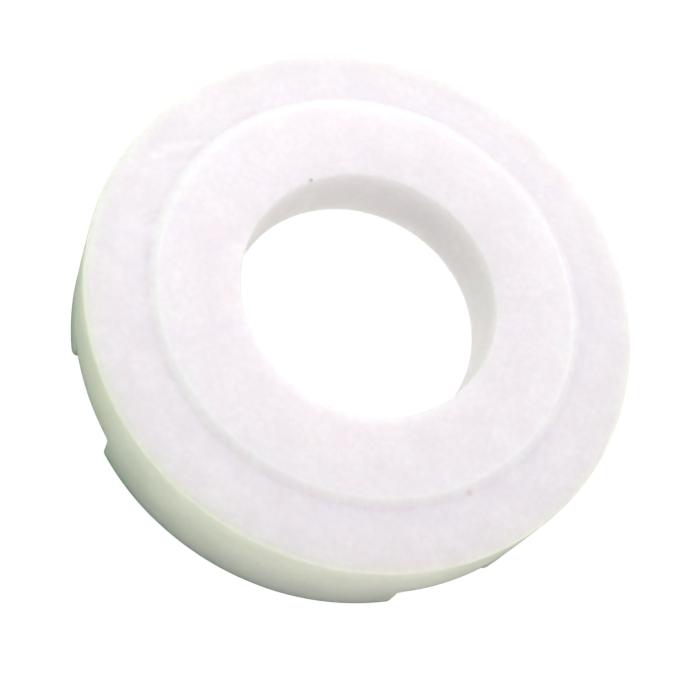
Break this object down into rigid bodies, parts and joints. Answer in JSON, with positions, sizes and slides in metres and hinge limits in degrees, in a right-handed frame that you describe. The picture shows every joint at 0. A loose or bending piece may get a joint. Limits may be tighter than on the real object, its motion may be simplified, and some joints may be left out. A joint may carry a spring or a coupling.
{
  "type": "washer",
  "caption": "Thick round plastic washer with a shallow raised boss round its bore and a slotted foot ring underneath.",
  "frame": {"origin": "centre of the base, on the bore's axis", "axes": "+Z along the bore, from the foot ring towards the raised boss; the foot slots open along +X, +Y, -X and -Y"},
  "size_m": [0.028, 0.028, 0.0062],
  "materials": {
    "white_plastic": "satin, slightly translucent natural nylon"
  },
  "bodies": {
    "root": {"washer_body": "white_plastic"}
  },
  "joints": []
}
